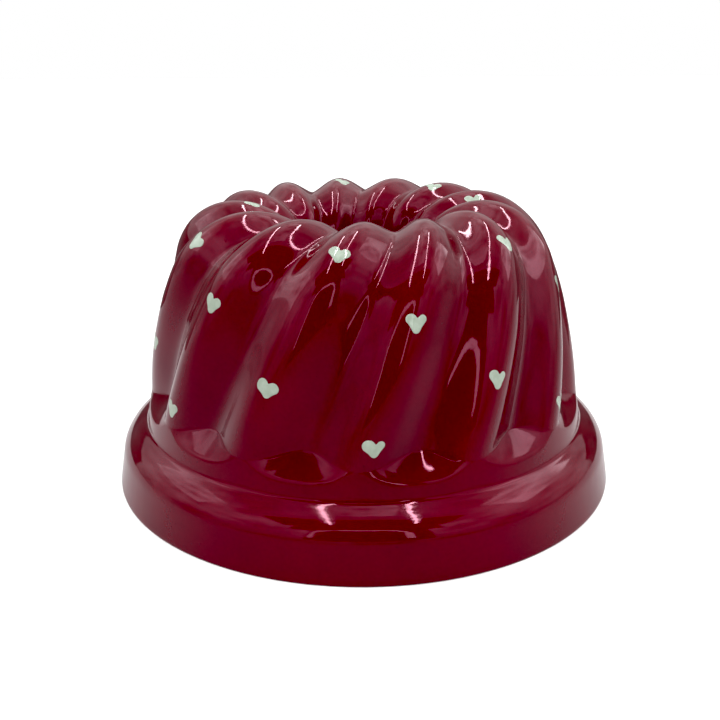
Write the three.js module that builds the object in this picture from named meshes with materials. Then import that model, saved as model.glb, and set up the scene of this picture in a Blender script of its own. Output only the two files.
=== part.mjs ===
// A kugelhopf baking mould of glazed earthenware, turned upside down on its rim as it is stored.
// One fired piece: a broad rim band, a wall of swirled ribs and grooves that runs over a round
// crown, and a tapering chimney that is open right through the middle. Millimetres, +Z up. The
// origin is the centre of the rim's flat, on the surface that the mould stands on.
//
// The shell's section is a closed outline that exists twice: once along a rib's crest and once
// along the groove beside it. A round-topped lobe blends from one to the other across each
// flute, and the whole section swirls as it climbs.

import * as THREE from 'three';

const { lerp, degToRad, clamp } = THREE.MathUtils;

// The rim band and its shoulder
const RIM_RADIUS = 110;
const RIM_EDGE = 0.8; // rounding of the rim's two lower edges
const BAND_TOP = new THREE.Vector2(107.3, 16);
const SHOULDER_PULL = new THREE.Vector2(105.5, 22.5);
const CREASE = new THREE.Vector2(96.5, 26.7); // where the shoulder meets the steep collar

// The foot of the ribs, and the cups that end the grooves on the collar
const RIB_FOOT = new THREE.Vector2(94.5, 37.5);
const CUP_LIP = new THREE.Vector2(95.3, 33.2);
const CUP_HEIGHT = 42.1; // where the cup's floor runs into the groove
const CUP_SEAM = 0.6; // height that is left of a cup on the rib's crest
const CUP_REACH = 0.84; // half-width of a cup, in half flutes
const CUP_SHAPE = 3; // flatness of a cup's lip

// The wall bulges a little as it climbs, and the crown is two parts of ellipses that meet on top
const WALL_PULL = new THREE.Vector2(91.05, 73.5);
const CROWN_TOP = new THREE.Vector2(53, 120.5);
const CROWN_HALF = new THREE.Vector2(31.9, 38.5); // of the ellipse outside the top
const CROWN_START = degToRad(24);
const BROW_HALF = new THREE.Vector2(33, 35.5); // and of the one inside it
const BROW_END = degToRad(130);

// The throat and the chimney
const THROAT_PULL = new THREE.Vector2(26.5, 107.4);
const THROAT_END = new THREE.Vector2(25, 85);
const CHIMNEY_END = new THREE.Vector2(14, 11);
const TIP_HEIGHT = 8; // the chimney stops short of the rim's level

// The flutes
const FLUTES = 13;
const RIB_FULLNESS = 2.2; // exponent of the rib's round back
const RIB_SOFTNESS = 0.45; // share of a plain wave in it
const FOOT_TURN = -29.4; // degrees, of the ribs' feet from the seam of the first flute
const TURN_RATE = 0.234; // degrees gained by each millimetre along a rib
const TURN_GAIN = 0.00045; // and how that grows
const GROOVE_DEPTHS = [
  new THREE.Vector2(0, 7.4), // millimetres along a rib from its foot, depth of the groove there
  new THREE.Vector2(20, 7.4),
  new THREE.Vector2(45, 6.2),
  new THREE.Vector2(72, 6.2),
  new THREE.Vector2(90, 6.8),
  new THREE.Vector2(100, 5.6),
  new THREE.Vector2(112, 3.8),
  new THREE.Vector2(140, 2.7),
  new THREE.Vector2(240, 0),
];

// The fired wall
const WALL = 7;
const CHIMNEY_WALL = 5.5;
const THINNING_START = 0.8; // share of the section from which the wall thins to the chimney's
const GLAZE_CRIMSON = 0x7d0a2c;

// How finely the solid is divided
const COLUMNS = [0, 0.13, 0.31, 0.5, 0.69, 0.87]; // places across one flute
const STEPS = { shoulder: 3, wall: 5, crown: 5, brow: 3, throat: 2, chimney: 2 };
const INNER_STEPS = { shoulder: 2, wall: 3, crown: 3, brow: 2, throat: 1, chimney: 1 };
const TIP_PLACES = [0.2, 0.5, 0.8]; // across the round end of the chimney

// A stretch of an ellipse that touches the crown's top
function crownArc(half, start, end) {
  return new THREE.EllipseCurve(
    CROWN_TOP.x, CROWN_TOP.y - half.y, half.x, half.y, start, end);
}

// The crest line of one rib: up the wall, over the crown and its brow, down the throat and
// the chimney
function ribLine() {
  const crown = crownArc(CROWN_HALF, CROWN_START, Math.PI / 2);
  const brow = crownArc(BROW_HALF, Math.PI / 2, BROW_END);
  const wallFoot = new THREE.Vector2(RIB_FOOT.x, RIB_FOOT.y + CUP_SEAM);
  const wall = new THREE.QuadraticBezierCurve(wallFoot, WALL_PULL, crown.getPoint(0));
  const throat = new THREE.QuadraticBezierCurve(brow.getPoint(1), THROAT_PULL, THROAT_END);
  const chimney = new THREE.LineCurve(THROAT_END, CHIMNEY_END);
  return Object.entries({ wall, crown, brow, throat, chimney });
}

// Degrees that a flute has swirled, so many millimetres along its rib
function turnAt(along) {
  return FOOT_TURN + TURN_RATE * along + TURN_GAIN * along * along;
}

// Depth of the groove, eased from one named depth to the next
function depthAt(along) {
  for (let i = 1; i < GROOVE_DEPTHS.length; i += 1) {
    const from = GROOVE_DEPTHS[i - 1];
    const to = GROOVE_DEPTHS[i];
    if (along <= to.x) {
      const share = (along - from.x) / (to.x - from.x);
      return lerp(from.y, to.y, share);
    }
  }
  return 0;
}

// One level of the section: the outline on the crest and in the groove, the swirl of each, and
// how much the level has the shape of a cup instead of a rib
function level(crest, groove, crestTurn, grooveTurn, cup) {
  return { crest, groove, crestTurn, grooveTurn, cup };
}

function plainLevel(point) {
  return level(point, point, FOOT_TURN, FOOT_TURN, 1);
}

// The rim band's face and its rounded shoulder, plain rings
function bandLevels(steps) {
  const shoulder = new THREE.QuadraticBezierCurve(BAND_TOP, SHOULDER_PULL, CREASE);
  const foot = new THREE.Vector2(RIM_RADIUS, RIM_EDGE);
  return [foot, ...shoulder.getPoints(steps.shoulder)].map(plainLevel);
}

// The lip of the cups, on the collar
function lipLevel() {
  return level(RIB_FOOT, CUP_LIP, FOOT_TURN, FOOT_TURN, 1);
}

// The ribs and grooves, from the top of the cups to the chimney's end
function fluteLevels(steps) {
  const levels = [];
  let start = 0;
  for (const [name, curve] of ribLine()) {
    const length = curve.getLength();
    for (let i = name === 'wall' ? 0 : 1; i <= steps[name]; i += 1) {
      const share = i / steps[name];
      const along = start + length * share;
      levels.push(fluteLevel(curve, share, along, name === 'wall'));
    }
    start += length;
  }
  return levels;
}

// On the wall the groove starts higher than the rib, above its cup, and catches up
function fluteLevel(curve, share, along, onWall) {
  const crest = curve.getPointAt(share);
  const tangent = curve.getTangentAt(share);
  const normal = new THREE.Vector2(tangent.y, -tangent.x);
  const groove = crest.clone().addScaledVector(normal, -depthAt(along));
  let grooveAlong = along;
  if (onWall) {
    const rise = (CUP_HEIGHT - groove.y) * (1 - share) ** 2;
    const lag = clamp(rise, 0, CUP_HEIGHT);
    groove.addScaledVector(tangent, lag);
    grooveAlong += lag;
  }
  return level(crest, groove, turnAt(along), turnAt(grooveAlong), 0);
}

// Points of an outline moved into the clay by the wall's thickness
function offsetLine(points, thickness) {
  return points.map((point, i) => {
    const before = points[Math.max(i - 1, 0)];
    const after = points[Math.min(i + 1, points.length - 1)];
    const tangent = after.clone().sub(before).normalize();
    const normal = new THREE.Vector2(tangent.y, -tangent.x);
    const moved = point.clone().addScaledVector(normal, -thickness(i / (points.length - 1)));
    return moved.setY(Math.max(moved.y, RIM_EDGE)); // nothing reaches below the rim's flat
  });
}

// The inner face of the shell, seen from below, follows the outer one
function innerLevels() {
  const outer = [...bandLevels(INNER_STEPS), lipLevel(), ...fluteLevels(INNER_STEPS)];
  const thickness = (share) => {
    const thin = clamp((share - THINNING_START) / (1 - THINNING_START), 0, 1);
    return lerp(WALL, CHIMNEY_WALL, thin);
  };
  const crests = offsetLine(outer.map((l) => l.crest), thickness);
  const grooves = offsetLine(outer.map((l) => l.groove), thickness);
  return outer.map((l, i) => level(crests[i], grooves[i], l.crestTurn, l.grooveTurn, l.cup));
}

// The round end of the chimney, a ring of three levels
function tipLevels(outside, inside) {
  const turn = outside.crestTurn;
  const from = outside.crest;
  const to = inside.crest;
  return TIP_PLACES.map((share) => {
    const drop = Math.sin(Math.PI * share);
    const point = new THREE.Vector2(lerp(from.x, to.x, share), lerp(from.y, TIP_HEIGHT, drop));
    return level(point, point, turn, turn, 0);
  });
}

// The flat that the mould stands on
function rimLevels(inside) {
  const inner = new THREE.Vector2(inside.crest.x + RIM_EDGE, 0);
  const outer = new THREE.Vector2(RIM_RADIUS - RIM_EDGE, 0);
  return [inner, outer].map(plainLevel);
}

// Lobe of a rib: 1 on its crest, 0 in the groove, with `x` counted in half flutes
function ribLobe(x) {
  const round = 1 - x ** RIB_FULLNESS;
  const wave = 0.5 + 0.5 * Math.cos(Math.PI * x);
  return lerp(round, wave, RIB_SOFTNESS);
}

// Lobe of a cup: 1 at its two tips beside the rib's foot, 0 along the middle of its lip
function cupLobe(x) {
  return Math.min(1, ((1 - x) / CUP_REACH) ** CUP_SHAPE);
}

// The point of a level at one place across one flute
function shellPoint({ crest, groove, crestTurn, grooveTurn, cup }, flute, place) {
  const x = 1 - Math.abs(1 - 2 * place);
  const lobe = lerp(ribLobe(x), cupLobe(x), cup);
  const radius = lerp(groove.x, crest.x, lobe);
  const height = lerp(groove.y, crest.y, lobe);
  const turn = degToRad(lerp(grooveTurn, crestTurn, lobe));
  const angle = ((flute + place) / FLUTES) * 2 * Math.PI - Math.PI / 2 + turn;
  return [radius * Math.cos(angle), radius * Math.sin(angle), height];
}

// A closed ring of levels, swept once round the axis
function sweep(levels) {
  const across = FLUTES * COLUMNS.length;
  const positions = [];
  for (const l of levels) {
    for (let flute = 0; flute < FLUTES; flute += 1) {
      for (const place of COLUMNS) positions.push(...shellPoint(l, flute, place));
    }
  }
  const index = [];
  for (let i = 0; i < levels.length; i += 1) {
    const row = i * across;
    const next = ((i + 1) % levels.length) * across;
    for (let j = 0; j < across; j += 1) {
      const k = (j + 1) % across;
      index.push(row + j, row + k, next + k);
      index.push(row + j, next + k, next + j);
    }
  }
  const geometry = new THREE.BufferGeometry();
  geometry.setAttribute('position', new THREE.Float32BufferAttribute(positions, 3));
  geometry.setIndex(index);
  geometry.computeVertexNormals();
  return geometry;
}

function mould() {
  const outside = [...bandLevels(STEPS), lipLevel(), ...fluteLevels(STEPS)];
  const inside = innerLevels().reverse();
  const tip = tipLevels(outside.at(-1), inside[0]);
  const rim = rimLevels(inside.at(-1));
  const glaze = new THREE.MeshStandardMaterial({
    color: GLAZE_CRIMSON,
    roughness: 0.08,
    metalness: 0,
  });
  const mesh = new THREE.Mesh(sweep([...outside, ...tip, ...inside, ...rim]), glaze);
  mesh.name = 'mould';
  return mesh;
}

const group = new THREE.Group();
group.add(mould());

export default group;
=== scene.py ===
import math
import random

import bpy
from mathutils import Matrix, Vector


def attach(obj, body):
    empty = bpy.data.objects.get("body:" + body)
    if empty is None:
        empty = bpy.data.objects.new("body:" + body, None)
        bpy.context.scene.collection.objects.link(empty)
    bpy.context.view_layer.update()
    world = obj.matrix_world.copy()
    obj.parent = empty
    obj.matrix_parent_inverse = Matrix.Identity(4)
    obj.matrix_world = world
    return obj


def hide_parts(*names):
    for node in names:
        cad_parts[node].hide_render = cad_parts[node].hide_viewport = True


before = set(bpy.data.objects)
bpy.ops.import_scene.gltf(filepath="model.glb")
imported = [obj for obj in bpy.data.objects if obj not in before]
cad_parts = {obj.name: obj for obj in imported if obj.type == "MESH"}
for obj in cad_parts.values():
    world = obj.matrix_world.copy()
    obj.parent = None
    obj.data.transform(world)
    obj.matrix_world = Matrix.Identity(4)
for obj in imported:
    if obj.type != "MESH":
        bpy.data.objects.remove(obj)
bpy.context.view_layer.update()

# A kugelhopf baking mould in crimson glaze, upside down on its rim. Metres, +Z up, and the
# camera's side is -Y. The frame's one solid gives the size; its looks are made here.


# Small helpers for node trees

nodeSpacing = (180, -220)  # of a tree's layout in the editor
nodesInLine = 12


def join(tree, socket, value):
    if isinstance(value, bpy.types.NodeSocket):
        tree.links.new(value, socket)
    else:
        socket.default_value = value


def addNode(tree, kind, inputs=None, **settings):
    node = tree.nodes.new(kind)
    line, place = divmod(len(tree.nodes), nodesInLine)
    node.location = (nodeSpacing[0] * place, nodeSpacing[1] * line)
    for name, value in settings.items():
        setattr(node, name, value)
    for key, value in (inputs or {}).items():
        join(tree, node.inputs[key], value)
    return node


def calc(tree, operation, *values):
    node = addNode(tree, "ShaderNodeMath", operation=operation)
    for i, value in enumerate(values):
        join(tree, node.inputs[i], value)
    return node.outputs[0]


def vectorCalc(tree, operation, *values):
    node = addNode(tree, "ShaderNodeVectorMath", operation=operation)
    for i, value in enumerate(values):
        join(tree, node.inputs["Scale" if operation == "SCALE" and i == 1 else i], value)
    return node.outputs["Value" if operation in ("LENGTH", "DOT_PRODUCT") else "Vector"]


# A tree with an input for each size, and for each of the others by its kind
def geometryTree(name, sizes, others):
    tree = bpy.data.node_groups.new(name, "GeometryNodeTree")
    tree.interface.new_socket("Geometry", in_out="INPUT", socket_type="NodeSocketGeometry")
    tree.interface.new_socket("Geometry", in_out="OUTPUT", socket_type="NodeSocketGeometry")
    kinds = {label: "Int" if isinstance(size, int) else "Float" for label, size in sizes.items()}
    for label, kind in {**kinds, **others}.items():
        tree.interface.new_socket(label, in_out="INPUT", socket_type="NodeSocket" + kind)
    return tree, tree.nodes.new("NodeGroupInput").outputs


# A node that takes a geometry and hands it on
def passOn(tree, kind, geometry, inputs=None, **settings):
    node = addNode(tree, kind, inputs, **settings)
    join(tree, node.inputs[0], geometry)
    return node.outputs[0]


def endTree(tree, geometry, material):
    geometry = passOn(tree, "GeometryNodeSetShadeSmooth", geometry)
    geometry = passOn(tree, "GeometryNodeRealizeInstances", geometry)
    geometry = passOn(tree, "GeometryNodeSetMaterial", geometry, {"Material": material})
    addNode(tree, "NodeGroupOutput", {"Geometry": geometry})
    return tree


def readAttribute(tree, name, kind="FLOAT"):
    node = addNode(tree, "GeometryNodeInputNamedAttribute", {"Name": name}, data_type=kind)
    return node.outputs["Attribute"]


def storeAttribute(tree, geometry, name, value, kind="FLOAT"):
    return passOn(tree, "GeometryNodeStoreNamedAttribute", geometry,
                  {"Name": name, "Value": value}, data_type=kind, domain="POINT")


# A value of a geometry, read at the point with the given number
def sampleAt(tree, geometry, value, index):
    node = addNode(tree, "GeometryNodeSampleIndex", data_type="FLOAT_VECTOR", domain="POINT")
    for key, source in (("Geometry", geometry), ("Value", value), ("Index", index)):
        join(tree, node.inputs[key], source)
    return node.outputs["Value"]


def positionOf(tree):
    return addNode(tree, "GeometryNodeInputPosition").outputs["Position"]


def link(piece):
    bpy.context.scene.collection.objects.link(piece)
    return piece


def pointMesh(name, points, attributes):
    mesh = bpy.data.meshes.new(name)
    mesh.from_pydata(points, [], [])
    for label, (kind, values) in attributes.items():
        layer = mesh.attributes.new(label, kind, "POINT")
        for item, value in zip(layer.data, values):
            setattr(item, "vector" if kind == "FLOAT_VECTOR" else "value", value)
    return link(bpy.data.objects.new(name, mesh))


# Runs a tree on a piece and leaves the result as its plain mesh
def grow(piece, tree, values):
    modifier = piece.modifiers.new(tree.name, "NODES")
    modifier.node_group = tree
    for item in tree.interface.items_tree:
        if item.in_out == "INPUT" and item.name in values:
            modifier[item.identifier] = values[item.name]
    piece.update_tag()
    grown = piece.evaluated_get(bpy.context.evaluated_depsgraph_get())
    mesh = bpy.data.meshes.new_from_object(grown)
    piece.modifiers.remove(modifier)
    old = piece.data
    piece.data = mesh
    bpy.data.meshes.remove(old)
    mesh.name = piece.name
    return piece


# The glazes. A pattern is its size in metres, its detail, its roughness and its seed.

crimson = {
    "deep": (0.047, 0.0003, 0.0011),
    "bright": (0.077, 0.0006, 0.0024),
    "speckColour": (0.02, 0.0005, 0.001),
    "mirrorTint": (1.0, 0.42, 0.56),
    "refraction": 1.5,
    "roughness": (0.045, 0.10),
    "cloud": (0.035, 3.0, 0.6, 0.0),     # slow drift of the colour
    "cloudShare": (0.25, 1.0),           # of the bright colour in it
    "grooveDarkening": 0.35,                  # how far the colour is darkened towards the bottom of a groove
    "mottle": (0.0016, 3.0, 0.7, 11.0),  # fine unevenness of the ground under the glaze
    "mottleShare": 0.30,
    "specks": (0.0011, 1.0, 0.5, 3.0),   # iron specks under the glaze
    "speckRange": (0.69, 0.78),
    "speckShare": 0.55,
    # slow ripples from wiping and dipping, then the fine peel of the fired glaze, with heights
    "bumps": (((0.016, 1.0, 0.5, 7.0), 0.00007), ((0.0021, 1.0, 0.5, 1.0), 0.000009)),
}

heartSlip = {
    "deep": (0.255, 0.318, 0.252),
    "bright": (0.305, 0.368, 0.302),
    "refraction": 1.5,
    "roughness": (0.05, 0.10),
    "stroke": (0.0032, 3.0, 0.6, 5.0),   # marks of the brush
    "strokeRange": (0.35, 0.62),
    "bumps": (((0.0021, 1.0, 0.5, 1.0), 0.000009),),
}

middleRange = (0.3, 0.7)  # where most of a pattern's values lie


def noiseAt(tree, place, size, detail, roughness, seed):
    node = addNode(tree, "ShaderNodeTexNoise", {"Vector": place, "W": seed, "Scale": 1 / size,
                   "Detail": detail, "Roughness": roughness}, noise_dimensions="4D")
    return node.outputs[0]


def remap(tree, value, fromLow, fromHigh, toLow, toHigh):
    node = addNode(tree, "ShaderNodeMapRange", {"Value": value, "From Min": fromLow,
                   "From Max": fromHigh, "To Min": toLow, "To Max": toHigh})
    return node.outputs["Result"]


def mixColour(tree, share, low, high):
    node = addNode(tree, "ShaderNodeMix", data_type="RGBA")
    join(tree, node.inputs["Factor"], share)
    for key, colour in (("A", low), ("B", high)):
        socket = next(s for s in node.inputs if s.name == key and s.type == "RGBA")
        join(tree, socket, colour if isinstance(colour, bpy.types.NodeSocket) else (*colour, 1))
    return next(s for s in node.outputs if s.type == "RGBA")


def glossyShader(name, looks):
    material = bpy.data.materials.new(name)
    material.use_nodes = True
    tree = material.node_tree
    tree.nodes.clear()
    place = addNode(tree, "ShaderNodeTexCoord").outputs["Object"]
    shader = addNode(tree, "ShaderNodeBsdfPrincipled")
    output = addNode(tree, "ShaderNodeOutputMaterial")
    tree.links.new(shader.outputs["BSDF"], output.inputs["Surface"])
    shader.inputs["IOR"].default_value = looks["refraction"]
    normal = None
    for pattern, height in looks["bumps"]:
        bump = addNode(tree, "ShaderNodeBump", {"Strength": 1.0, "Distance": height,
                       "Height": noiseAt(tree, place, *pattern)})
        if normal:
            tree.links.new(normal, bump.inputs["Normal"])
        normal = bump.outputs["Normal"]
    tree.links.new(normal, shader.inputs["Normal"])
    return material, tree, place, shader


def crimsonGlaze():
    material, tree, place, shader = glossyShader("crimson_glaze", crimson)
    groove = addNode(tree, "ShaderNodeAttribute", attribute_name="grooveShare").outputs["Fac"]
    cloud = noiseAt(tree, place, *crimson["cloud"])
    # the colour is made darker towards the bottom of each groove, more where the groove is deeper
    share = calc(tree, "SUBTRACT", remap(tree, cloud, *middleRange, *crimson["cloudShare"]),
                 calc(tree, "MULTIPLY", groove, crimson["grooveDarkening"]))
    mottle = remap(tree, noiseAt(tree, place, *crimson["mottle"]), *middleRange,
                   -crimson["mottleShare"], crimson["mottleShare"])
    colour = mixColour(tree, calc(tree, "ADD", share, mottle), crimson["deep"],
                       crimson["bright"])
    dark = remap(tree, noiseAt(tree, place, *crimson["specks"]), *crimson["speckRange"], 0.0,
                 crimson["speckShare"])
    colour = mixColour(tree, dark, colour, crimson["speckColour"])
    rough = remap(tree, cloud, *middleRange, *crimson["roughness"])
    tree.links.new(colour, shader.inputs["Base Color"])
    tree.links.new(rough, shader.inputs["Roughness"])
    shader.inputs["Specular Tint"].default_value = (*crimson["mirrorTint"], 1)
    return material


def heartGlaze():
    material, tree, place, shader = glossyShader("heart_slip", heartSlip)
    stroke = noiseAt(tree, place, *heartSlip["stroke"])
    colour = mixColour(tree, remap(tree, stroke, *heartSlip["strokeRange"], 0.0, 1.0),
                       heartSlip["deep"], heartSlip["bright"])
    rough = remap(tree, stroke, *middleRange, *heartSlip["roughness"])
    tree.links.new(colour, shader.inputs["Base Color"])
    tree.links.new(rough, shader.inputs["Roughness"])
    return material


# The mould. Its section is an outline in the groove, and the reach from there to the rib's
# crest; the tree below sweeps it round the axis in thirteen swirled flutes.

mouldShape = {
    "rimRadius": 0.10993,
    "rimEdge": 0.0008,
    "bandTop": (0.1073, 0.0160),
    "shoulderPull": (0.1055, 0.0225),
    "crease": (0.0965, 0.0267),       # where the shoulder meets the steep collar
    "ribFoot": (0.0945, 0.0375),
    "cupLip": (0.0953, 0.0332),
    "cupHeight": 0.0421,
    "cupSeam": 0.0006,
    "wallPull": (0.09105, 0.0735),
    "crownTop": (0.053, 0.12045),
    "crownHalf": (0.0319, 0.0385),    # of the ellipse outside the top
    "browHalf": (0.033, 0.0355),      # and of the one inside it
    "crownAngles": (24.0, 130.0),
    "throatPull": (0.0265, 0.1074),
    "throatEnd": (0.0250, 0.0850),
    "chimneyEnd": (0.0140, 0.0110),
    "tipHeight": 0.008,
    "footTurn": -29.4,                # degrees
    "turnRate": 234.0,                # degrees gained by each metre along a rib
    "turnGain": 450.0,
    "grooveDepths": ((0.0, 0.0074), (0.020, 0.0074), (0.045, 0.0062), (0.072, 0.0062),
                     (0.090, 0.0068), (0.100, 0.0056), (0.112, 0.0038), (0.140, 0.0027),
                     (0.240, 0.0)),
    "grooveRounding": ((0.0, 0.22), (0.055, 0.22), (0.090, 0.08), (0.240, 0.08)),
    "ringRounding": 0.08,             # the same below the flutes
    "wall": 0.007,
    "chimneyWall": 0.0055,
    "thinning": (0.8, 0.2),           # where along the inner rows the wall thins, over how much
    "soften": 1,                      # rounding passes over the outline
    "innerSoften": 10,
    "rows": {"rimEdge": 4, "band": 12, "shoulder": 14, "collar": 9, "cup": 13, "wall": 30,
             "crown": 54, "throat": 18, "chimney": 20, "tip": 7},
    "innerRows": {"shoulder": 2, "wall": 2, "crown": 5, "throat": 1, "chimney": 1},
    "innerSpacing": 0.0032,
    "lineSteps": 60,                  # of a line or bend of the section, before its rows
    "crownSteps": 240,
    "sweep": {
        "Flutes": 13,
        "Columns": 312,
        "Column Crowding": 0.45,   # columns stand closer along the grooves
        "Rib Fullness": 2.2,
        "Rib Softness": 0.45,
        "Cup Reach": 0.84,
        "Cup Shape": 3.0,
        "Cup Softness": 0.15,
        "Groove Tone": 120.0,      # of the grooves' share for the glaze, for each metre of depth
        "Merge Distance": 0.00001,
        "Unevenness": 0.00022,
        "Unevenness Size": 0.030,
        "Even Below": 0.020,       # the rim stays flat, and the top inside its size
        "Uneven Above": 0.040,
        "Calmer Above": 0.112,
        "Calm Top": 0.119,
        "Calm Share": 0.3,
    },
}


def mix(a, b, share):
    return [p + (q - p) * share for p, q in zip(a, b)]


def linePoints(shape, start, end):
    steps = shape["lineSteps"]
    return [Vector(mix(start, end, i / steps)) for i in range(steps + 1)]


def bendPoints(shape, start, pull, end):
    shares = [i / shape["lineSteps"] for i in range(shape["lineSteps"] + 1)]
    return [Vector(mix(mix(start, pull, share), mix(pull, end, share), share))
            for share in shares]


def crownPoints(shape):
    x, top = shape["crownTop"]
    first, last = shape["crownAngles"]
    points, steps = [], shape["crownSteps"]
    for i in range(steps + 1):
        a = math.radians(first + (last - first) * i / steps)
        halfWidth, halfHeight = shape["crownHalf" if a < math.pi / 2 else "browHalf"]
        points.append(Vector((x + halfWidth * math.cos(a),
                              top - halfHeight + halfHeight * math.sin(a))))
    return points


# A line's length, and the point and direction at a share of it
def lengthOf(points):
    return sum((b - a).length for a, b in zip(points, points[1:]))


def pointAt(points, share):
    left = lengthOf(points) * share
    for a, b in zip(points, points[1:]):
        step = (b - a).length
        if left <= step or b is points[-1]:
            return a + (b - a) * (left / step), (b - a).normalized()
        left -= step


def tableAt(table, along):
    for (start, low), (end, high) in zip(table, table[1:]):
        if along <= end:
            return low + (high - low) * (along - start) / (end - start)
    return table[-1][1]


def turnAt(shape, along):
    return shape["footTurn"] + shape["turnRate"] * along + shape["turnGain"] * along ** 2


# A row is the groove's point, the reach to the crest, the reach to a cup's tip, two turns and
# the rounding of the groove. A plain ring has no reach, and the lip only that of the cups.
def ringRow(shape, point, cupReach=(0, 0)):
    return [*point, 0, 0, *cupReach, shape["footTurn"], 0, shape["ringRounding"]]


def lipRow(shape):
    return ringRow(shape, shape["cupLip"], Vector(shape["ribFoot"]) - Vector(shape["cupLip"]))


def fluteRow(shape, points, share, along, onWall):
    crest, tangent = pointAt(points, share)
    normal = Vector((tangent.y, -tangent.x))
    groove = crest - normal * tableAt(shape["grooveDepths"], along)
    lag = 0.0
    if onWall:  # the groove starts above its cup, higher than the rib, and catches up
        lag = max(0.0, (shape["cupHeight"] - groove.y) * (1 - share) ** 2)
        groove += tangent * lag
    turn, grooveTurn = turnAt(shape, along), turnAt(shape, along + lag)
    return [*groove, *(crest - groove), 0, 0, grooveTurn, turn - grooveTurn,
            tableAt(shape["grooveRounding"], along)]


def fluteRows(shape, counts):
    crown = crownPoints(shape)
    foot = (shape["ribFoot"][0], shape["ribFoot"][1] + shape["cupSeam"])
    lines = {"wall": bendPoints(shape, foot, shape["wallPull"], crown[0]), "crown": crown,
             "throat": bendPoints(shape, crown[-1], shape["throatPull"], shape["throatEnd"]),
             "chimney": linePoints(shape, shape["throatEnd"], shape["chimneyEnd"])}
    rows, start = [], 0.0
    for name, points in lines.items():
        length = lengthOf(points)
        for i in range(0 if name == "wall" else 1, counts[name] + 1):
            share = i / counts[name]
            rows.append(fluteRow(shape, points, share, start + length * share, name == "wall"))
        start += length
    return rows


def shoulderPoints(shape):
    return bendPoints(shape, shape["bandTop"], shape["shoulderPull"], shape["crease"])


def outerRows(shape):
    counts = shape["rows"]
    radius, edge = shape["rimRadius"], shape["rimEdge"]
    rows = []
    for i in range(counts["rimEdge"] + 1):
        a = math.pi / 2 * i / counts["rimEdge"]
        rows.append(ringRow(shape, (radius - edge + edge * math.sin(a),
                                    edge - edge * math.cos(a))))
    for name, points in (("band", linePoints(shape, (radius, edge), shape["bandTop"])),
                         ("shoulder", shoulderPoints(shape))):
        rows += [ringRow(shape, pointAt(points, (i + 1) / counts[name])[0])
                 for i in range(counts[name])]
    flutes, lip, crease = fluteRows(shape, counts), lipRow(shape), rows[-1]
    rows += [mix(crease, lip, (i + 1) / counts["collar"]) for i in range(counts["collar"])]
    rows += [mix(lip, flutes[0], (i + 1) / counts["cup"]) for i in range(counts["cup"] - 1)]
    return rows + flutes


# The inner face is the outer one moved into the clay, in longer steps so that it stays simple
def innerRows(shape):
    counts, shoulder = shape["innerRows"], shoulderPoints(shape)
    rows = [ringRow(shape, (shape["rimRadius"], shape["rimEdge"]))]
    rows += [ringRow(shape, pointAt(shoulder, i / counts["shoulder"])[0])
             for i in range(counts["shoulder"] + 1)]
    rows += [lipRow(shape), *fluteRows(shape, counts)]
    grooves = [Vector(row[:2]) for row in rows]
    crests = [Vector(row[:2]) + Vector(row[2:4]) + Vector(row[4:6]) for row in rows]
    thinFrom, thinOver = shape["thinning"]
    inner = []
    for i, row in enumerate(rows):
        thin = max(0.0, (i / (len(rows) - 1) - thinFrom) / thinOver)
        thickness = shape["wall"] + (shape["chimneyWall"] - shape["wall"]) * thin
        moved = []
        for line in (crests, grooves):
            tangent = (line[min(i + 1, len(line) - 1)] - line[max(i - 1, 0)]).normalized()
            place = line[i] - Vector((tangent.y, -tangent.x)) * thickness
            moved.append(Vector((place.x, max(place.y, shape["rimEdge"]))))
        crest, groove = moved
        reaches = [crest - groove, Vector((0, 0))]
        if Vector(row[4:6]).length > 0:  # the lip's reach is to the cups
            reaches.reverse()
        inner.append([*groove, *reaches[0], *reaches[1], *row[6:]])
    finer = []
    for a, b in zip(inner, inner[1:]):
        steps = max(1, round((Vector(b[:2]) - Vector(a[:2])).length / shape["innerSpacing"]))
        finer += [mix(a, b, i / steps) for i in range(steps)]
    return (finer + [inner[-1]])[::-1]


def soften(rows, passes):
    for _ in range(passes):
        middle = [mix(mix(a, c, 0.5), b, 0.5) for a, b, c in zip(rows, rows[1:], rows[2:])]
        rows = [rows[0], *middle, rows[-1]]
    return rows


# The round end of the chimney
def tipRows(shape, start, end):
    rows = []
    for i in range(1, shape["rows"]["tip"] + 1):
        share = i / (shape["rows"]["tip"] + 1)
        drop = math.sin(math.pi * share)
        rows.append([start[0] + (end[0] - start[0]) * share,
                     start[1] + (shape["tipHeight"] - start[1]) * drop, *start[2:]])
    return rows


def sectionRows(shape):
    outer = soften(outerRows(shape), shape["soften"])
    inner = soften(innerRows(shape), shape["innerSoften"])
    foot, edge = inner[-1], shape["rimEdge"]
    arc = []
    for i in range(1, shape["rows"]["rimEdge"] + 1):  # rounding of the rim's inner edge
        a = math.pi / 2 * i / shape["rows"]["rimEdge"]
        arc.append(ringRow(shape, (foot[0] + edge - edge * math.cos(a),
                                   foot[1] - foot[1] * math.sin(a))))
    return [*outer, *tipRows(shape, outer[-1], inner[0]), *inner, *arc]


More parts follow.
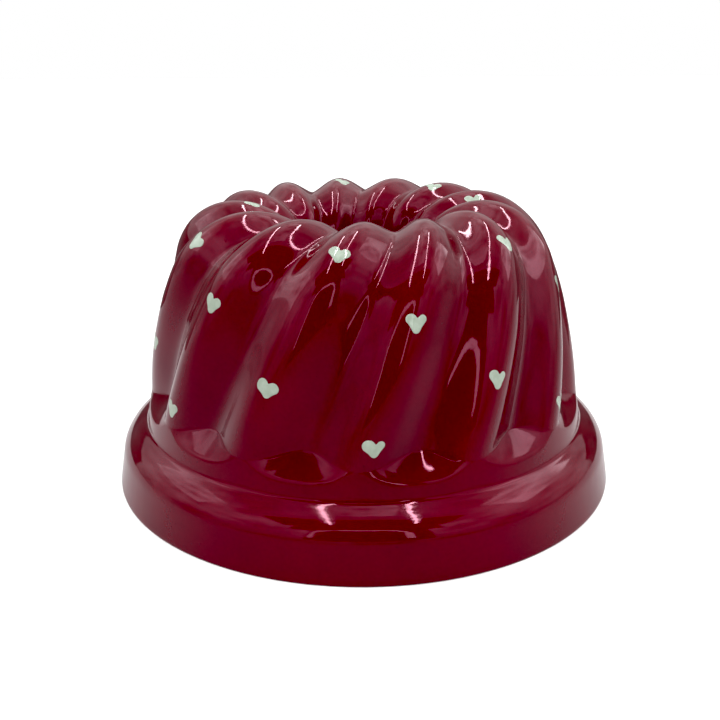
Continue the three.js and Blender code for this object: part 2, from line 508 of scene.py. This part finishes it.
def mouldTree():
    tree, given = geometryTree("mouldSweep", mouldShape["sweep"], {"Glaze": "Material"})
    section, columns = given["Geometry"], given["Columns"]
    rows = addNode(tree, "GeometryNodeAttributeDomainSize",
                   {"Geometry": section}).outputs["Point Count"]
    wide = calc(tree, "ADD", columns, 1.0)
    grid = addNode(tree, "GeometryNodeMeshGrid", {
        "Vertices X": calc(tree, "ADD", rows, 1.0), "Vertices Y": wide}).outputs["Mesh"]
    index = addNode(tree, "GeometryNodeInputIndex").outputs["Index"]
    row = calc(tree, "MODULO", calc(tree, "FLOOR", calc(tree, "DIVIDE",
               calc(tree, "ADD", index, 0.5), wide)), rows)
    column = calc(tree, "MODULO", index, wide)

    def atRow(value):
        return sampleAt(tree, section, value, row)

    groove = atRow(positionOf(tree))
    ribReach = atRow(readAttribute(tree, "ribReach", "FLOAT_VECTOR"))
    cupReach = atRow(readAttribute(tree, "cupReach", "FLOAT_VECTOR"))
    turns = addNode(tree, "ShaderNodeSeparateXYZ", {
        "Vector": atRow(readAttribute(tree, "turns", "FLOAT_VECTOR"))}).outputs

    # across counts the flutes round the axis, and inward goes from 0 on a rib's crest to 1 in
    # the groove
    even = calc(tree, "DIVIDE", calc(tree, "MULTIPLY", column, given["Flutes"]), columns)
    wave = calc(tree, "SINE", calc(tree, "MULTIPLY", even, math.tau))
    across = calc(tree, "ADD", even, calc(tree, "MULTIPLY", wave,
                  calc(tree, "DIVIDE", given["Column Crowding"], math.tau)))
    fromCrest = calc(tree, "PINGPONG", across, 0.5)
    gap = calc(tree, "SUBTRACT", 1.0, calc(tree, "MULTIPLY", fromCrest, 2.0))
    bend = turns["Z"]

    def rounded(value):  # a corner at 0 made round
        square = calc(tree, "ADD", calc(tree, "MULTIPLY", value, value),
                      calc(tree, "MULTIPLY", bend, bend))
        return calc(tree, "SUBTRACT", calc(tree, "SQRT", square), bend)

    softGap = calc(tree, "DIVIDE", rounded(gap), rounded(1.0))
    inward = calc(tree, "SUBTRACT", 1.0, softGap)
    full = calc(tree, "SUBTRACT", 1.0, calc(tree, "POWER", inward, given["Rib Fullness"]))
    cosine = calc(tree, "MULTIPLY_ADD",
                  calc(tree, "COSINE", calc(tree, "MULTIPLY", inward, math.pi)), 0.5, 0.5)
    ribLobe = addNode(tree, "ShaderNodeMix", {0: given["Rib Softness"], 2: full, 3: cosine},
                      data_type="FLOAT").outputs[0]
    cupLobe = calc(tree, "SMOOTH_MIN", calc(tree, "POWER",
                   calc(tree, "DIVIDE", softGap, given["Cup Reach"]), given["Cup Shape"]),
                   1.0, given["Cup Softness"])

    point = vectorCalc(tree, "ADD", groove, vectorCalc(tree, "SCALE", ribReach, ribLobe))
    point = vectorCalc(tree, "ADD", point, vectorCalc(tree, "SCALE", cupReach, cupLobe))
    point = addNode(tree, "ShaderNodeSeparateXYZ", {"Vector": point}).outputs
    turn = calc(tree, "RADIANS", calc(tree, "ADD", turns["X"],
                calc(tree, "MULTIPLY", turns["Y"], ribLobe)))
    angle = calc(tree, "MULTIPLY", calc(tree, "DIVIDE", across, given["Flutes"]), math.tau)
    angle = calc(tree, "ADD", calc(tree, "SUBTRACT", angle, math.pi / 2), turn)
    place = addNode(tree, "ShaderNodeCombineXYZ", {
        "X": calc(tree, "MULTIPLY", point["X"], calc(tree, "COSINE", angle)),
        "Y": calc(tree, "MULTIPLY", point["X"], calc(tree, "SINE", angle)),
        "Z": point["Z"]}).outputs["Vector"]
    shell = storeAttribute(tree, grid, "grooveShare", calc(tree, "MULTIPLY",
                           calc(tree, "SUBTRACT", 1.0, ribLobe), calc(tree, "MULTIPLY",
                           vectorCalc(tree, "LENGTH", ribReach), given["Groove Tone"])))
    shell = passOn(tree, "GeometryNodeSetPosition", shell, {"Position": place})
    shell = passOn(tree, "GeometryNodeMergeByDistance", shell,
                   {"Distance": given["Merge Distance"]})
    shell = passOn(tree, "GeometryNodeFlipFaces", shell)

    # hand-finished clay is never quite even
    where = positionOf(tree)
    noise = addNode(tree, "ShaderNodeTexNoise", {"Vector": where, "Detail": 1.0, "Scale":
                    calc(tree, "DIVIDE", 1.0, given["Unevenness Size"])}).outputs[0]
    height = addNode(tree, "ShaderNodeSeparateXYZ", {"Vector": where}).outputs["Z"]
    free = calc(tree, "MULTIPLY",
                remap(tree, height, given["Even Below"], given["Uneven Above"], 0.0, 1.0),
                remap(tree, height, given["Calmer Above"], given["Calm Top"], 1.0,
                      given["Calm Share"]))
    push = calc(tree, "MULTIPLY", calc(tree, "MULTIPLY", calc(tree, "SUBTRACT", noise, 0.5), 2.0),
                calc(tree, "MULTIPLY", given["Unevenness"], free))
    normal = addNode(tree, "GeometryNodeInputNormal").outputs["Normal"]
    shell = passOn(tree, "GeometryNodeSetPosition", shell,
                   {"Offset": vectorCalc(tree, "SCALE", normal, push)})
    return endTree(tree, shell, given["Glaze"])


def makeMould(glaze):
    rows = sectionRows(mouldShape)
    piece = pointMesh("mouldBody", [(row[0], 0, row[1]) for row in rows], {
        "ribReach": ("FLOAT_VECTOR", [(row[2], 0, row[3]) for row in rows]),
        "cupReach": ("FLOAT_VECTOR", [(row[4], 0, row[5]) for row in rows]),
        "turns": ("FLOAT_VECTOR", [tuple(row[6:]) for row in rows])})
    grow(piece, mouldTree(), {**mouldShape["sweep"], "Glaze": glaze})
    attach(piece, "root")
    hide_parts("mould")
    print("mould swept from", len(rows), "rows,", len(piece.data.polygons), "faces")
    return piece


mould = makeMould(crimsonGlaze())


# The painted hearts: two fat strokes of slip that meet in a round tip. Each is a thin closed
# shell that the tree lays on the mould along the surface, whatever its curve.

heartSizes = {
    "ringRadius": 0.055,      # of the circle that the hearts' places are counted from
    "ringHeight": 0.055,
    "reach": 0.10,            # from that circle out past the glaze
    "tipRound": 0.0013,
    "strokesMeet": 0.0012,    # rounding where the strokes join
    "middle": 0.25,           # of the way down to the tip: where the spokes start
    "spokes": 44,
    "halvings": 24,           # to find a spoke's end
    # turn round the axis and rise over the ring in degrees, lean, then in millimetres: width,
    # height, rounding of the left and the right stroke, how much lower the right one starts
    "seen": (
        (-152.1, 70.5, 20, 7.6, 7.2, 1.9, 1.8, 0.2), (-132.3, 52.4, 0, 8.2, 7.2, 2.1, 1.9, 1.2),
        (-112.9, 18.2, 0, 9.2, 7.0, 2.6, 2.2, 1.3), (-144.7, -12.4, 8, 7.6, 6.8, 2.0, 1.7, 0.6),
        (-166.5, 14.0, 2, 7.6, 7.0, 2.0, 1.7, 0.6), (-97.0, 74.0, 2, 8.2, 6.8, 2.1, 1.8, 0.9),
        (-77.3, 50.4, 2, 7.8, 6.8, 2.0, 1.6, 0.2), (-87.9, -11.8, 2, 8.4, 6.6, 2.4, 1.6, 0.7),
        (-56.9, 18.4, 8, 7.6, 7.1, 2.1, 1.4, 0.8), (-41.6, 72.6, 6, 7.6, 7.4, 1.8, 1.6, 1.2),
        (-32.4, -12.1, 0, 7.6, 7.1, 1.8, 1.5, 0.6), (-20.6, 50.5, 0, 7.6, 7.0, 1.8, 1.5, 0.6),
        (-172.0, 97.7, 0, 7.6, 7.0, 1.8, 1.5, 0.6), (100.6, 95.2, 180, 7.6, 7.0, 1.8, 1.5, 0.6),
        (46.6, 96.8, 150, 7.6, 7.0, 1.8, 1.5, 0.6), (12.0, 94.9, 90, 7.6, 7.0, 1.8, 1.5, 0.6)),
    # rows that go on round the far side: rise, from and to, how many between
    "rows": ((-12.0, -32.4, 215.3, 4), (17.5, -48.0, 193.5, 4), (50.5, -22.9, 228.5, 4),
             (72.0, -28.0, 207.9, 4)),
    "drift": (5.0, 3.0, 9.0),  # degrees: round the axis, in rise, in lean
    # their width, height, two roundings and how much lower the right stroke starts
    "shapes": ((7.4, 8.6), (6.6, 7.4), (1.9, 2.4), (1.5, 1.9), (0.1, 1.2)),
    "seed": 7,
    "cover": {
        "Rings": 7,
        "Slip Height": 0.00007,
        "Slip Depth": 0.00008,
        "Edge Fall": 40.0,
        "Aim Length": 0.2,         # of the ray that finds where a heart lies
        "Cover Height": 0.006,     # where the rays that lay it on the glaze start
        "Cover Length": 0.016,     # and how far they go
        "Merge Distance": 0.000003,
    },
}


def placeHearts(sizes):
    draw = random.Random(sizes["seed"])
    hearts = [list(heart) for heart in sizes["seen"]]
    for rise, start, end, count in sizes["rows"]:
        for i in range(1, count + 1):
            middle = (start + (end - start) * i / (count + 1), rise, 0)
            hearts.append([value + draw.uniform(-drift, drift)
                           for value, drift in zip(middle, sizes["drift"])]
                          + [draw.uniform(*span) for span in sizes["shapes"]])
    return hearts


# How far a place is outside a stroke that narrows from its start to its end
def outsideStroke(place, start, end, startRound, endRound):
    run = end - start
    share = min(max((place - start).dot(run) / run.length_squared, 0.0), 1.0)
    return (place - start - run * share).length - startRound - (endRound - startRound) * share


def outsideHeart(place, strokes, meet):
    left, right = (outsideStroke(place, *stroke) for stroke in strokes)
    share = min(max(0.5 + (right - left) / (2 * meet), 0.0), 1.0)
    return right + (left - right) * share - meet * share * (1 - share)


# A heart's outline as spokes from its middle, in metres on the flat
def heartEdge(sizes, width, height, leftRound, rightRound, drop, lean):
    width, height, leftRound, rightRound, drop = (
        v / 1000 for v in (width, height, leftRound, rightRound, drop))
    tip = Vector((0, sizes["tipRound"] - height / 2))
    left = Vector((leftRound - width / 2, height / 2 - leftRound))
    right = Vector((width / 2 - rightRound, height / 2 - rightRound - drop))
    strokes = [(left, tip, leftRound, sizes["tipRound"]),
               (right, tip, rightRound, sizes["tipRound"])]
    middle = Vector((0, tip.y * sizes["middle"]))
    edge = []
    for i in range(sizes["spokes"]):
        a = math.tau * i / sizes["spokes"]
        ray = Vector((math.cos(a), math.sin(a)))
        near, far = 0.0, width
        for _ in range(sizes["halvings"]):
            half = (near + far) / 2
            inside = outsideHeart(middle + ray * half, strokes, sizes["strokesMeet"]) < 0
            near, far = (half, far) if inside else (near, half)
        x, y = middle + ray * near
        c, s = math.cos(math.radians(lean)), math.sin(math.radians(lean))
        edge.append((x * c + y * s, y * c - x * s, 0))
    return edge


def heartTree():
    tree, given = geometryTree("heartCover", heartSizes["cover"], {
        "Mould": "Object", "Outlines": "Object", "Spokes": "Int", "Slip": "Material"})

    def geometryOf(name):
        return addNode(tree, "GeometryNodeObjectInfo", {"Object": given[name]}).outputs["Geometry"]

    def meet(start, outward, length):
        return addNode(tree, "GeometryNodeRaycast", {
            "Target Geometry": geometryOf("Mould"), "Source Position": start,
            "Ray Direction": vectorCalc(tree, "SCALE", outward, -1.0),
            "Ray Length": length}).outputs

    # where each heart lies, and its own right, up and outward directions
    hit = meet(positionOf(tree), readAttribute(tree, "aim", "FLOAT_VECTOR"),
               given["Aim Length"])
    out, up = hit["Hit Normal"], readAttribute(tree, "upward", "FLOAT_VECTOR")
    up = vectorCalc(tree, "NORMALIZE", vectorCalc(tree, "SUBTRACT", up, vectorCalc(
        tree, "SCALE", out, vectorCalc(tree, "DOT_PRODUCT", up, out))))
    places = given["Geometry"]
    for name, value in (("heartOut", out), ("heartUp", up), ("heartMiddle", hit["Hit Position"]),
                        ("heartRight", vectorCalc(tree, "CROSS_PRODUCT", up, out))):
        places = storeAttribute(tree, places, name, value, "FLOAT_VECTOR")
    places = storeAttribute(tree, places, "heartNumber",
                            addNode(tree, "GeometryNodeInputIndex").outputs["Index"], "INT")

    # a closed disc: rings out from the middle over the top, and back underneath
    ringCount = calc(tree, "MULTIPLY", given["Rings"], 2.0)
    wide = calc(tree, "ADD", given["Spokes"], 1.0)
    disc = addNode(tree, "GeometryNodeMeshGrid", {
        "Vertices X": calc(tree, "ADD", ringCount, 1.0), "Vertices Y": wide}).outputs["Mesh"]
    index = addNode(tree, "GeometryNodeInputIndex").outputs["Index"]
    ring = calc(tree, "FLOOR", calc(tree, "DIVIDE", calc(tree, "ADD", index, 0.5), wide))
    spoke = calc(tree, "MODULO", calc(tree, "MODULO", index, wide), given["Spokes"])
    turn = calc(tree, "MULTIPLY", calc(tree, "DIVIDE", ring, ringCount), math.pi)
    disc = storeAttribute(tree, disc, "heartSpoke", spoke)
    disc = storeAttribute(tree, disc, "heartSpread", calc(tree, "SINE", turn))
    disc = storeAttribute(tree, disc, "heartTop", calc(tree, "LESS_THAN", turn, math.pi / 2))
    laid = addNode(tree, "GeometryNodeInstanceOnPoints",
                   {"Points": places, "Instance": disc}).outputs["Instances"]
    laid = passOn(tree, "GeometryNodeRealizeInstances", laid)

    number = calc(tree, "MULTIPLY_ADD", readAttribute(tree, "heartNumber", "INT"),
                  given["Spokes"], readAttribute(tree, "heartSpoke"))
    outline = sampleAt(tree, geometryOf("Outlines"), positionOf(tree), number)
    spread = readAttribute(tree, "heartSpread")
    flat = addNode(tree, "ShaderNodeSeparateXYZ", {
        "Vector": vectorCalc(tree, "SCALE", outline, spread)}).outputs
    place = readAttribute(tree, "heartMiddle", "FLOAT_VECTOR")
    for name, distance in (("heartRight", flat["X"]), ("heartUp", flat["Y"])):
        place = vectorCalc(tree, "ADD", place, vectorCalc(
            tree, "SCALE", readAttribute(tree, name, "FLOAT_VECTOR"), distance))
    outward = readAttribute(tree, "heartOut", "FLOAT_VECTOR")
    surface = meet(vectorCalc(tree, "ADD", place, vectorCalc(
        tree, "SCALE", outward, given["Cover Height"])), outward, given["Cover Length"])
    body = calc(tree, "SUBTRACT", 1.0, calc(tree, "POWER", spread, given["Edge Fall"]))
    top = readAttribute(tree, "heartTop")
    height = calc(tree, "SUBTRACT", calc(tree, "MULTIPLY", top, calc(
        tree, "ADD", given["Slip Height"], given["Slip Depth"])), given["Slip Depth"])
    place = vectorCalc(tree, "ADD", surface["Hit Position"], vectorCalc(
        tree, "SCALE", surface["Hit Normal"], calc(tree, "MULTIPLY", body, height)))
    laid = passOn(tree, "GeometryNodeSetPosition", laid, {"Position": place})
    laid = passOn(tree, "GeometryNodeMergeByDistance", laid,
                  {"Distance": given["Merge Distance"]})
    laid = passOn(tree, "GeometryNodeRemoveAttribute", laid, {"Name": "heart*"},
                  pattern_mode="WILDCARD")
    return endTree(tree, laid, given["Slip"])


def makeHearts(body, slip):
    hearts = placeHearts(heartSizes)
    aims, rises, starts, edges = [], [], [], []
    radius, level = heartSizes["ringRadius"], heartSizes["ringHeight"]
    for turn, rise, lean, width, height, leftRound, rightRound, drop in hearts:
        a, b = math.radians(turn), math.radians(rise)
        across = Vector((math.cos(a), math.sin(a), 0))
        aim = across * math.cos(b) + Vector((0, 0, math.sin(b)))
        aims.append(aim)
        rises.append(across * -math.sin(b) + Vector((0, 0, math.cos(b))))
        starts.append(across * radius + Vector((0, 0, level)) + aim * heartSizes["reach"])
        edges += heartEdge(heartSizes, width, height, leftRound, rightRound, drop, lean)
    piece = pointMesh("paintedHearts", starts, {"aim": ("FLOAT_VECTOR", aims),
                                                "upward": ("FLOAT_VECTOR", rises)})
    outlines = pointMesh("heartOutlines", edges, {})
    grow(piece, heartTree(), {**heartSizes["cover"], "Spokes": heartSizes["spokes"],
                              "Mould": body, "Outlines": outlines, "Slip": slip})
    bpy.data.objects.remove(outlines)
    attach(piece, "root")
    print(len(hearts), "hearts painted,", len(piece.data.polygons), "faces")
    return piece


makeHearts(mould, heartGlaze())


# The camera stands where the photograph was taken from

cameraPlace = {
    "location": (-0.00145, -0.4016, 0.1917),
    "pitch": 19.77,   # degrees below the horizon
    "roll": -0.32,
    "lens": 47.38,
    "sensorWidth": 36,
    "clip": (0.01, 50),
}


def makeCamera(place):
    camera = link(bpy.data.objects.new("camera", bpy.data.cameras.new("camera")))
    turn = Matrix.Rotation(math.radians(90 - place["pitch"]), 4, "X")
    turn = turn @ Matrix.Rotation(math.radians(place["roll"]), 4, "Z")
    camera.matrix_world = Matrix.Translation(place["location"]) @ turn
    camera.data.lens = place["lens"]
    camera.data.sensor_width = place["sensorWidth"]
    camera.data.clip_start, camera.data.clip_end = place["clip"]
    bpy.context.scene.camera = camera


makeCamera(cameraPlace)
print("camera in place")


# A small photo tent: a pale floor, pale cloth all round, two lamp strips under its roof and a
# dark front opening whose edge catches the light. What stands round the mould is seen only in
# its glaze. Sizes are in metres, and a pattern is a size, detail, roughness and seed.

studio = {
    "floorSize": 6.0,
    "floorColour": (0.80, 0.80, 0.80),
    "floorGlow": 0.25,
    "tableColour": (0.60, 0.60, 0.60),
    "darkColour": (0.01, 0.01, 0.01),  # of what hangs in the tent, where it doesn't glow
    "roughness": 0.8,
    "gloss": 0.1,
    "tableDrop": 0.0004,              # how far the table's cloth lies under the white floor
    "clothStrength": (0.85, 1.9),     # low down and halfway up, at the next line's heights
    "clothHeights": (0.05, 0.65),
    "roofShare": 0.65,                # of that, overhead
    "roofHeights": (0.68, 0.85),
    "farShare": 0.66,                 # and behind the mould
    "farDepths": (0.3, 0.75),
    "clothFolds": 0.35,
    "foldRange": (0.35, 0.65),
    "clothPattern": (0.30, 4.0, 0.62, 0.0),
    "panelPattern": (0.16, 4.0, 0.65, 0.0),
    "panelShares": (0.45, 1.4),       # of a panel's brightness, in and on its folds
    # left, right, front, back, height, brightness of the roof's parts
    "roof": {"roofMiddle": (-0.09, 0.10, -0.20, 0.48, 0.61, 2.3),
             "roofFront": (-0.45, 0.45, -0.55, -0.30, 0.63, 0.15)},
    "strips": {"stripLeft": (-0.118, -0.138), "stripRight": (0.125, 0.225)},
    "stripBend": -0.10,               # where a strip leaves its line for its front place
    "stripWidth": (0.006, 0.026),     # narrowest and widest
    "stripReach": (-0.42, 0.30),      # front and back ends
    "stripHeight": 0.60,
    "stripSteps": 32,
    "stripStrength": 34.0,
    # left, right, bottom, top, distance, brightness
    "panels": {"opening": (-0.15, 0.18, 0.065, 0.295, -0.37, 0.10),
               "frontCloth": (-0.30, 0.32, 0.352, 0.63, -0.46, 0.28),
               "backCloth": (-0.60, 0.60, -0.01, 0.16, 0.30, 0.20)},
    # place across, front, back, bottom, top, brightness
    "sides": {"sideRight": (0.42, -0.12, 0.22, 0.26, 0.60, 3.6),
              "sideLeft": (-0.42, -0.10, 0.20, 0.24, 0.46, 3.0)},
    "arch": {"distance": -0.345, "left": -0.125, "right": 0.106, "foot": 0.10, "top": 0.268,
             "bend": 0.075, "bendStep": 6, "thickness": 0.0085, "unevenness": 0.4,
             "strength": 3.4},
    "seed": 4,
    "blackLevel": (0.0, 0.026, 0.020),
}


def plainShader(name, strength):
    material = bpy.data.materials.new(name)
    material.use_nodes = True
    shader = material.node_tree.nodes["Principled BSDF"]
    shader.inputs["Emission Color"].default_value = (1, 1, 1, 1)
    shader.inputs["Emission Strength"].default_value = strength
    return material, material.node_tree, shader


# Cloth and lamps glow, and a glow with folds is uneven
def plainSurface(name, corners, colour, strength=0.0, pattern=None):
    mesh = bpy.data.meshes.new(name)
    mesh.from_pydata(corners, [], [tuple(range(len(corners)))])
    piece = link(bpy.data.objects.new(name, mesh))
    material, tree, shader = plainShader(name, strength)
    shader.inputs["Base Color"].default_value = (*colour, 1)
    shader.inputs["Roughness"].default_value = studio["roughness"]
    shader.inputs["Specular IOR Level"].default_value = studio["gloss"]
    if pattern:
        place = addNode(tree, "ShaderNodeTexCoord").outputs["Object"]
        folds = remap(tree, noiseAt(tree, place, *pattern), *studio["foldRange"],
                      *studio["panelShares"])
        tree.links.new(calc(tree, "MULTIPLY", folds, strength), shader.inputs["Emission Strength"])
    mesh.materials.append(material)
    piece.visible_camera = False
    return piece


# What only darkens the glaze's reflections casts no shade of its own
def castNothing(piece):
    piece.visible_diffuse = piece.visible_shadow = False


# The camera sees a white floor, and the glaze mirrors the duller cloth just under it
def makeFloor(looks):
    half = looks["floorSize"] / 2

    def corners(z):
        return [(-half, -half, z), (half, -half, z), (half, half, z), (-half, half, z)]

    floor = plainSurface("floor", corners(0), looks["floorColour"], looks["floorGlow"])
    floor.visible_camera = True
    floor.visible_glossy = False
    castNothing(floor)
    plainSurface("tableCloth", corners(-looks["tableDrop"]), looks["tableColour"])


def makePanels(looks):
    dark, pattern = looks["darkColour"], looks["panelPattern"]
    for name, (left, right, bottom, top, y, strength) in looks["panels"].items():
        castNothing(plainSurface(name, [(left, y, bottom), (right, y, bottom), (right, y, top),
                                        (left, y, top)], dark, strength, pattern))
    for name, (left, right, front, back, z, strength) in looks["roof"].items():
        plainSurface(name, [(left, front, z), (right, front, z), (right, back, z),
                            (left, back, z)], dark, strength, pattern)
    for name, (x, front, back, bottom, top, strength) in looks["sides"].items():
        plainSurface(name, [(x, front, bottom), (x, back, bottom), (x, back, top),
                            (x, front, top)], dark, strength, pattern)


# The front opening's doorway, and the edge of its cloth as a glowing tube of uneven thickness
def makeArch(looks):
    draw = random.Random(looks["seed"])
    arch = looks["arch"]
    bend, points = arch["bend"], []
    turns = [math.radians(turn) for turn in range(0, 91, arch["bendStep"])]
    for side, foot in ((-1, arch["left"]), (1, arch["right"])):
        leg = [(foot, arch["foot"])]
        leg += [(foot - side * bend + side * bend * math.cos(a),
                 arch["top"] - bend + bend * math.sin(a)) for a in turns]
        points += leg if side < 0 else leg[::-1]
    castNothing(plainSurface("doorway", [(x, arch["distance"], z) for x, z in points],
                             looks["darkColour"]))
    curve = bpy.data.curves.new("archEdge", "CURVE")
    curve.dimensions = "3D"
    spline = curve.splines.new("POLY")
    spline.points.add(len(points) - 1)
    for item, (x, z) in zip(spline.points, points):
        item.co = (x, arch["distance"], z, 1)
        item.radius = 1 + arch["unevenness"] * draw.uniform(-1, 1)
    curve.bevel_depth = arch["thickness"]
    curve.materials.append(plainShader("archEdge", arch["strength"])[0])
    edge = link(bpy.data.objects.new("archEdge", curve))
    edge.visible_camera = False


# The lamps hang behind creased cloth, so a strip's edges waver
def makeStrips(looks):
    draw = random.Random(looks["seed"])
    front, back = looks["stripReach"]
    narrow, broad = looks["stripWidth"]
    bend, steps = looks["stripBend"], looks["stripSteps"]
    for name, (across, frontAcross) in looks["strips"].items():
        sides = ([], [])
        for i in range(steps + 1):
            y = front + (back - front) * i / steps
            middle = across + (frontAcross - across) * max(bend - y, 0.0) / (bend - front)
            for side, edge in zip((-1, 1), sides):
                edge.append((middle + side * draw.uniform(narrow, broad) / 2, y,
                             looks["stripHeight"]))
        plainSurface(name, sides[1] + sides[0][::-1], looks["darkColour"],
                     looks["stripStrength"])


def makeWorld(looks):
    world = bpy.data.worlds.new("tentCloth")
    bpy.context.scene.world = world
    world.use_nodes = True
    tree = world.node_tree
    tree.nodes.clear()
    direction = addNode(tree, "ShaderNodeTexCoord").outputs["Generated"]
    folds = noiseAt(tree, direction, *looks["clothPattern"])
    axes = addNode(tree, "ShaderNodeSeparateXYZ", {"Vector": direction}).outputs
    strength = remap(tree, folds, *looks["foldRange"], 1 - looks["clothFolds"],
                     1 + looks["clothFolds"])
    for axis, (start, end), low, high in (
            ("Z", looks["clothHeights"], *looks["clothStrength"]),
            ("Z", looks["roofHeights"], 1.0, looks["roofShare"]),
            ("Y", looks["farDepths"], 1.0, looks["farShare"])):
        strength = calc(tree, "MULTIPLY", strength,
                        remap(tree, axes[axis], start, end, low, high))
    cloth = addNode(tree, "ShaderNodeBackground", {"Strength": strength})
    cloth.inputs["Color"].default_value = (1, 1, 1, 1)
    behind = addNode(tree, "ShaderNodeBackground", {"Strength": 1.0})
    behind.inputs["Color"].default_value = (1, 1, 1, 1)
    seen = addNode(tree, "ShaderNodeLightPath").outputs["Is Camera Ray"]
    both = addNode(tree, "ShaderNodeMixShader", {0: seen, 1: cloth.outputs[0],
                   2: behind.outputs[0]})
    addNode(tree, "ShaderNodeOutputWorld", {"Surface": both.outputs[0]})
    view = bpy.context.scene.view_settings
    view.view_transform = "Standard"
    view.use_curve_mapping = True
    view.curve_mapping.black_level = looks["blackLevel"]
    view.curve_mapping.update()


makeFloor(studio)
makePanels(studio)
makeArch(studio)
makeStrips(studio)
makeWorld(studio)
print("floor and lights in place")
